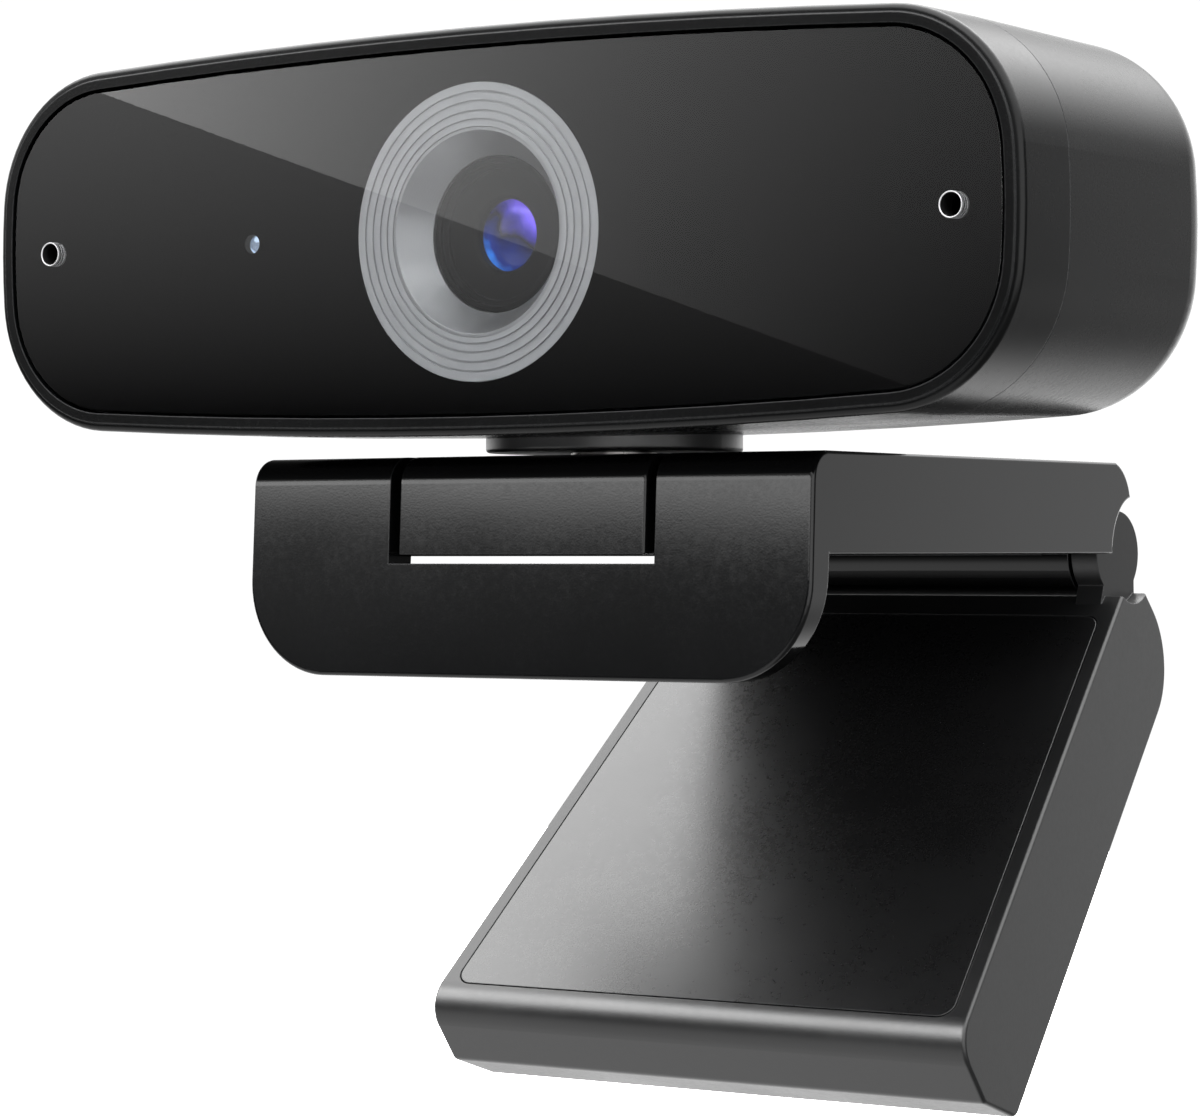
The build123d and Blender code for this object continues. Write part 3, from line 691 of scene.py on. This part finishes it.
@dataclass
class FrontPrint(SubAssembly):
    """Black print fused to the back of the window, and the ribbed sleeves of the sound holes."""

    sink_mm: float = 0.06
    hole_xs_mm: tuple[float, float] = (-42.0, 41.6)
    height_mm: float = 24.25
    mouth_mm: float = -18.97
    tail_mm: float = -17.32
    outer_mm: float = 0.96
    inner_mm: float = 0.85
    sides: int = 72
    lip_mm: float = 0.03
    lip_depth_mm: float = 0.05
    groove_starts_mm: tuple[float, ...] = (0.42, 0.92)
    groove_mm: float = 0.07
    groove_floor_mm: float = 0.15
    groove_wide_mm: float = 0.22

    def build(self) -> None:
        """Make the print and the sleeves."""
        self.print_film()
        for side, x in zip(("left", "right"), self.hole_xs_mm):
            self.sleeve(side, x)

    def print_film(self) -> None:
        """The print, sunk a hair into the window so that no air shows between them."""
        mesh = self.nodes["window_mask"].data.copy()
        mesh.transform(Matrix.Translation((0.0, -self.sink_mm * MM, 0.0)))
        film = bpy.data.objects.new("window_print", mesh)
        bpy.context.scene.collection.objects.link(film)
        self.shelf.dress(film, Finish.PRINT)
        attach(film, "head")
        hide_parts("window_mask")
        log.info("window_print: black film behind the window")

    def profile(self) -> list[tuple[float, float]]:
        """Half section of a sleeve.

        Returns:
            (radius, depth) points in millimetres, mouth first, round the section.
        """
        outer, inner, mouth, tail = self.outer_mm, self.inner_mm, self.mouth_mm, self.tail_mm
        deep = outer - self.groove_mm
        points = [(inner, tail), (inner, mouth + 2 * self.lip_mm), (inner + self.lip_mm, mouth),
                  (outer - self.lip_mm, mouth), (outer, mouth + self.lip_depth_mm)]
        for start in (mouth + depth for depth in self.groove_starts_mm):
            points += [(outer, start), (deep, start + self.groove_mm), (deep, start + self.groove_floor_mm),
                       (outer, start + self.groove_wide_mm)]
        return points + [(outer, tail)]

    def sleeve(self, side: str, x_mm: float) -> None:
        """One turned sleeve.

        Args:
            side: which sound hole, for the piece's name.
            x_mm: where its axis is.
        """
        bm = bmesh.new()
        turns = [2 * math.pi * k / self.sides for k in range(self.sides)]
        rows = []
        for radius, depth in self.profile():
            spots = [Vector((x_mm + radius * math.cos(turn), depth, self.height_mm + radius * math.sin(turn)))
                     for turn in turns]
            rows.append([bm.verts.new(spot * MM) for spot in spots])
        rows.append(rows[0])
        for step, (row, following) in enumerate(zip(rows, rows[1:])):
            for k in range(self.sides):
                nxt = (k + 1) % self.sides
                face = bm.faces.new((row[k], row[nxt], following[nxt], following[k]))
                face.material_index = 1 if step == 0 else 0
                face.smooth = True
        bmesh.ops.recalc_face_normals(bm, faces=bm.faces)
        mesh = bpy.data.meshes.new(f"sound_sleeve_{side}")
        bm.to_mesh(mesh)
        bm.free()
        piece = bpy.data.objects.new(mesh.name, mesh)
        bpy.context.scene.collection.objects.link(piece)
        for finish in (Finish.SLEEVE, Finish.INNER):
            mesh.materials.append(self.shelf.take(finish))
        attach(piece, "head")
        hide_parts("mic_sleeves")
        log.info("%s: ribbed sleeve", piece.name)


@dataclass
class Arm(SubAssembly):
    """The tilting tongue that carries the swivel."""

    finishes: dict[str, Finish] = field(default_factory=lambda: {
        "tilt_arm": Finish.CLIP,
        "swivel_shaft": Finish.STEEL,
        "swivel_spring": Finish.STEEL,
        "swivel_nut": Finish.STEEL,
    })


@dataclass
class Bracket(SubAssembly):
    """The clip's beam and front flap with its pads and pins."""

    finishes: dict[str, Finish] = field(default_factory=lambda: {
        "bracket_shell": Finish.CLIP,
        "flap_pad": Finish.RUBBER,
        "beam_cover": Finish.LEG,
        "beam_pad": Finish.RUBBER,
        "cover_screws": Finish.BLACK_STEEL,
        "tilt_pin": Finish.STEEL,
        "tilt_washers": Finish.STEEL,
        "hinge_pin": Finish.STEEL,
        "hinge_springs": Finish.STEEL,
    })


@dataclass
class Leg(SubAssembly):
    """The folding leg with its face panel and tripod nut."""

    finishes: dict[str, Finish] = field(default_factory=lambda: {
        "leg_shell": Finish.LEG,
        "leg_cover": Finish.LEG,
        "leg_pad": Finish.LEG_FACE,
        "leg_screws": Finish.BLACK_STEEL,
        "tripod_nut": Finish.BRASS,
    })


# --- Studio ---

class LightTree:
    """A light's node tree, with short calls for sums on its brightness."""

    def __init__(self, tree: bpy.types.NodeTree) -> None:
        """Start from an emptied node tree."""
        tree.nodes.clear()
        self.tree = tree

    def add(self, kind: str) -> bpy.types.Node:
        """Add a node of a type."""
        return self.tree.nodes.new(kind)

    def join(self, source: bpy.types.NodeSocket, target: bpy.types.NodeSocket) -> None:
        """Link one socket to another."""
        self.tree.links.new(source, target)

    def apart(self, vector: bpy.types.NodeSocket) -> list[bpy.types.NodeSocket]:
        """Take a vector apart.

        Args:
            vector: the socket to read.

        Returns:
            The sockets of its three parts.
        """
        split = self.add("ShaderNodeSeparateXYZ")
        self.join(vector, split.inputs[0])
        return list(split.outputs)

    def ramp(self, value: bpy.types.NodeSocket, span: Span, to: Span = NONE_TO_ALL) -> bpy.types.NodeSocket:
        """Smoothly map a value from one span to another.

        Args:
            value: the socket to read.
            span: the lowest and highest value read.
            to: what they become.

        Returns:
            The mapped socket.
        """
        node = self.add("ShaderNodeMapRange")
        node.interpolation_type = "SMOOTHSTEP"
        self.join(value, node.inputs["Value"])
        node.inputs["From Min"].default_value, node.inputs["From Max"].default_value = span
        node.inputs["To Min"].default_value, node.inputs["To Max"].default_value = to
        return node.outputs["Result"]

    def sum(self, job: str, a: object, b: object, c: object = 0.0) -> bpy.types.NodeSocket:
        """Do sums on sockets or numbers.

        Args:
            job: the Math node's operation.
            a: first socket or number.
            b: second socket or number.
            c: third socket or number, for a multiply and add.

        Returns:
            The result's socket.
        """
        node = self.add("ShaderNodeMath")
        node.operation = job
        for socket, value in zip(node.inputs, (a, b, c)):
            if isinstance(value, (int, float)):
                socket.default_value = value
            else:
                self.join(value, socket)
        return node.outputs[0]

    def times(self, first: object, *others: object) -> bpy.types.NodeSocket:
        """Multiply sockets or numbers.

        Args:
            first: first socket or number.
            others: what it is multiplied by, in turn.

        Returns:
            The product's socket.
        """
        for other in others:
            first = self.sum("MULTIPLY", first, other)
        return first

    def less(self, a: object, b: object) -> bpy.types.NodeSocket:
        """Take the second socket or number from the first."""
        return self.sum("SUBTRACT", a, b)


@dataclass
class Room:
    """The light that comes from each direction, and the white that is seen behind the object."""

    high_sky: float = 7.4
    sky: float = 7.0
    sky_at_left: float = 0.12
    left_wall: float = 1.5
    wall: Span = (1.05, 0.14)
    ground: Span = (0.35, 2.1)
    near: Span = (1.1, 0.45)
    near_rise: float = 23.0
    near_start: float = -0.71
    near_most: float = 4.0
    fill: float = 3.4
    least: float = 0.04
    paper: float = 1.05

    def build(self) -> None:
        """Make the world's light."""
        world = bpy.data.worlds.new("studio")
        bpy.context.scene.world = world
        world.use_nodes = True
        t = LightTree(world.node_tree)
        lit = t.add("ShaderNodeBackground")
        t.join(self.brightness(t), lit.inputs["Strength"])
        white = t.add("ShaderNodeBackground")
        white.inputs["Color"].default_value = (1.0, 1.0, 1.0, 1.0)
        white.inputs["Strength"].default_value = self.paper
        mix = t.add("ShaderNodeMixShader")
        t.join(t.add("ShaderNodeLightPath").outputs["Is Camera Ray"], mix.inputs[0])
        t.join(lit.outputs[0], mix.inputs[1])
        t.join(white.outputs[0], mix.inputs[2])
        t.join(mix.outputs[0], t.add("ShaderNodeOutputWorld").inputs["Surface"])

    def brightness(self, t: LightTree) -> bpy.types.NodeSocket:
        """Soft light: bright above and behind, dim low in front.

        Args:
            t: the world's node tree.

        Returns:
            The socket of the brightness in each direction.
        """
        x, y, z = t.apart(t.add("ShaderNodeTexCoord").outputs["Generated"])
        up = t.ramp(z, (0.10, 0.50))
        down = t.ramp(z, (-0.12, -0.45))
        level = t.less(t.less(1.0, up), down)
        behind = t.ramp(y, (-0.1, 0.3))
        ahead = t.less(1.0, behind)
        sky = t.times(t.ramp(z, (0.2, 0.65)), self.sky, t.ramp(x, (-0.45, 0.1), (self.sky_at_left, 1.0)))
        high = t.times(t.ramp(z, (0.40, 0.72)), t.ramp(x, (0.33, -0.35)), self.high_sky)
        sides = t.sum("ADD", t.ramp(x, (-0.2, 0.3), (self.left_wall, 0.0)), t.ramp(x, (0.40, 0.60), self.wall))
        wall = t.times(behind, level, sides)
        rise = t.sum("MULTIPLY_ADD", z, self.near_rise, self.near_start)
        rise = t.sum("MINIMUM", t.sum("MAXIMUM", rise, 0.0), self.near_most)
        near = t.times(t.ramp(x, (-0.72, -0.48), self.near), rise, ahead, t.less(1.0, up))
        ground = t.times(down, t.ramp(x, (0.30, -0.10), self.ground))
        fill = t.times(t.ramp(x, (0.1, 0.5), (0.0, self.fill)), ahead)
        total = t.sum("MULTIPLY_ADD", fill, level, self.least)
        for part in (sky, high, wall, near, ground):
            total = t.sum("ADD", total, part)
        return total


@dataclass
class SoftBox:
    """A soft box that only some pieces reflect.

    The corners are in millimetres: start low, end low, end high, start high. The strength is that
    at its start and at its end, and the fade is how quickly one gives way to the other, 1 for evenly.
    """

    name: str
    corners_mm: list[Vector]
    strength: Span
    lit: list[str]
    fade: float = 1.0

    def build(self, nodes: dict[str, bpy.types.Object]) -> None:
        """Make the box and link it to the pieces that reflect it.

        Args:
            nodes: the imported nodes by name.
        """
        mesh = bpy.data.meshes.new(self.name)
        mesh.from_pydata([tuple(corner * MM) for corner in self.corners_mm], [], [(0, 1, 2, 3)])
        across = mesh.uv_layers.new(name="across")
        for loop, uv in zip(across.data, ((0, 0), (1, 0), (1, 1), (0, 1))):
            loop.uv = uv
        mesh.materials.append(self.glow())
        box = bpy.data.objects.new(self.name, mesh)
        bpy.context.scene.collection.objects.link(box)
        box.visible_camera = False
        box.visible_diffuse = False
        box.visible_transmission = False
        box.visible_shadow = False
        group = bpy.data.collections.new(self.name + "_lit")
        for node in self.lit:
            group.objects.link(nodes[node])
        box.light_linking.receiver_collection = group

    def glow(self) -> bpy.types.Material:
        """Make the stuff of the box, a clear sheet that shines more at one end.

        Returns:
            Its material.
        """
        material = bpy.data.materials.new(self.name)
        material.use_nodes = True
        t = LightTree(material.node_tree)
        along = t.apart(t.add("ShaderNodeUVMap").outputs["UV"])[0]
        shine = t.add("ShaderNodeEmission")
        t.join(t.ramp(t.sum("POWER", along, self.fade), NONE_TO_ALL, self.strength), shine.inputs["Strength"])
        both = t.add("ShaderNodeAddShader")
        t.join(shine.outputs[0], both.inputs[0])
        t.join(t.add("ShaderNodeBsdfTransparent").outputs[0], both.inputs[1])
        t.join(both.outputs[0], t.add("ShaderNodeOutputMaterial").inputs["Surface"])
        return material


@dataclass
class Studio:
    """White room, soft light and the camera."""

    nodes: dict[str, bpy.types.Object]
    floor_mm: float = -260.0
    floor_half_m: float = 3.0
    floor_shades: Span = (0.78, 0.82)
    floor_fleck_mm: float = 60.0
    eye_mm: tuple[float, float, float] = (191.787, -273.06, 0.37)
    yaw_degrees: float = 35.28
    pitch_degrees: float = -0.11
    roll_degrees: float = 0.08
    lens_mm: float = 128.1
    sensor_mm: float = 36.0
    pane_mm: float = -18.95
    line_start_mm: tuple[float, float] = (-37.8, 37.28)
    line_end_mm: tuple[float, float] = (37.98, 11.87)
    window_box_high_mm: float = 420.0
    window_box_away: float = 3.0
    window_box_spare: float = 0.25
    flap_box_mm: tuple[float, float, float] = (40.0, 104.0, 320.0)
    flap_box_at_mm: tuple[float, float, float] = (-578.0, -816.0, 0.0)
    flap_box_half: float = 0.6
    foot_box_at_mm: tuple[tuple[float, float, float], ...] = ((-578.0, -776.0, 230.0), (-578.0, -530.0, 640.0))
    foot_box_half: float = 0.7
    across_mm: tuple[float, float, float] = (816.0, -578.0, 0.0)

    def build(self) -> None:
        """Make the light, the floor and the camera."""
        Room().build()
        self.floor()
        for box in (self.window_box(), *self.flap_boxes(), self.foot_box()):
            box.build(self.nodes)
            log.info("%s: lights %s", box.name, ", ".join(box.lit))
        self.camera()
        bpy.context.scene.view_settings.view_transform = "Standard"

    def floor(self) -> None:
        """Pale floor well below the object."""
        r, z = self.floor_half_m, self.floor_mm * MM
        mesh = bpy.data.meshes.new("studio_floor")
        mesh.from_pydata([(-r, -r, z), (r, -r, z), (r, r, z), (-r, r, z)], [], [(0, 1, 2, 3)])
        floor = bpy.data.objects.new("studio_floor", mesh)
        bpy.context.scene.collection.objects.link(floor)
        s = Shader("floor_paper")
        s.set(Specular_IOR_Level=0.0, Roughness=1.0, Emission_Color=(1.0, 1.0, 1.0, 1.0),
              Emission_Strength=Room.paper)
        dark, light = ((shade,) * 3 for shade in self.floor_shades)
        s.join(s.mix(s.noise(self.floor_fleck_mm, 2.0), dark, light), s.skin.inputs["Base Color"])
        mesh.materials.append(s.material)
        floor.visible_glossy = False
        floor.visible_diffuse = False
        floor.visible_transmission = False

    def window_box(self) -> SoftBox:
        """Soft box whose straight lower edge crosses the window as a slanting line.

        Returns:
            The box, not yet made.
        """
        mirrored_eye = Vector((self.eye_mm[0], 2 * self.pane_mm - self.eye_mm[1], self.eye_mm[2]))
        start, end = (Vector((x, self.pane_mm, z)) for x, z in (self.line_start_mm, self.line_end_mm))
        far = [mirrored_eye + (spot - mirrored_eye) * self.window_box_away for spot in (start, end)]
        along = (far[1] - far[0]) * self.window_box_spare
        low = [far[0] - along, far[1] + along]
        rise = Vector((0.0, 0.0, self.window_box_high_mm))
        corners = [low[0], low[1], low[1] + rise, low[0] + rise]
        return SoftBox("window_card", corners, (6.0, 0.0), ["front_window"], fade=0.45)

    def flap_boxes(self) -> list[SoftBox]:
        """Two low soft boxes: a gradient on the flap, and a bright line under its bend.

        Returns:
            The boxes, not yet made.
        """
        centre = Vector(self.flap_box_at_mm)
        side = Vector(self.across_mm) * self.flap_box_half
        low, high, over = (Vector((0.0, 0.0, z)) for z in self.flap_box_mm)
        lit = ["bracket_shell", "tilt_arm"]
        boxes = []
        for name, bottom, top, strength, fade in (("flap_card", low, high, (0.0, 7.0), 5.0),
                                                  ("bend_card", high, over, (5.5, 5.5), 1.0)):
            corners = [centre + side + bottom, centre + side + top, centre - side + top, centre - side + bottom]
            boxes.append(SoftBox(name, corners, strength, lit, fade))
        return boxes

    def foot_box(self) -> SoftBox:
        """High soft box that draws a bright band along the round of the leg's foot.

        Returns:
            The box, not yet made.
        """
        side = Vector(self.across_mm) * self.foot_box_half
        low, high = (Vector(spot) for spot in self.foot_box_at_mm)
        corners = [low + side, high + side, high - side, low - side]
        return SoftBox("foot_card", corners, (13.5, 13.5), ["leg_shell"])

    def camera(self) -> None:
        """Camera at eye level, ahead of the object and to its right."""
        data = bpy.data.cameras.new("eye")
        data.sensor_width = self.sensor_mm
        data.lens = self.lens_mm
        data.clip_start, data.clip_end = 0.01, 20.0
        eye = bpy.data.objects.new("eye", data)
        bpy.context.scene.collection.objects.link(eye)
        yaw, pitch = math.radians(self.yaw_degrees), math.radians(self.pitch_degrees)
        look = Vector((-math.sin(yaw) * math.cos(pitch), math.cos(yaw) * math.cos(pitch), math.sin(pitch)))
        eye.rotation_mode = "QUATERNION"
        eye.location = Vector(self.eye_mm) * MM
        roll = Quaternion(look, math.radians(self.roll_degrees))
        eye.rotation_quaternion = roll @ look.to_track_quat("-Z", "Y")
        bpy.context.scene.camera = eye


def main() -> None:
    """Build the scene."""
    logging.basicConfig(level=logging.INFO, format="%(message)s")
    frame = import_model()
    shelf = FinishShelf()
    for group in (Head, LensEye, Arm, Bracket, Leg):
        group(shelf, frame["nodes"]).dress()
        log.info("dressed %s", group.__name__)
    FrontPrint(shelf, frame["nodes"]).build()
    Studio(frame["nodes"]).build()


if __name__ == "__main__":
    main()
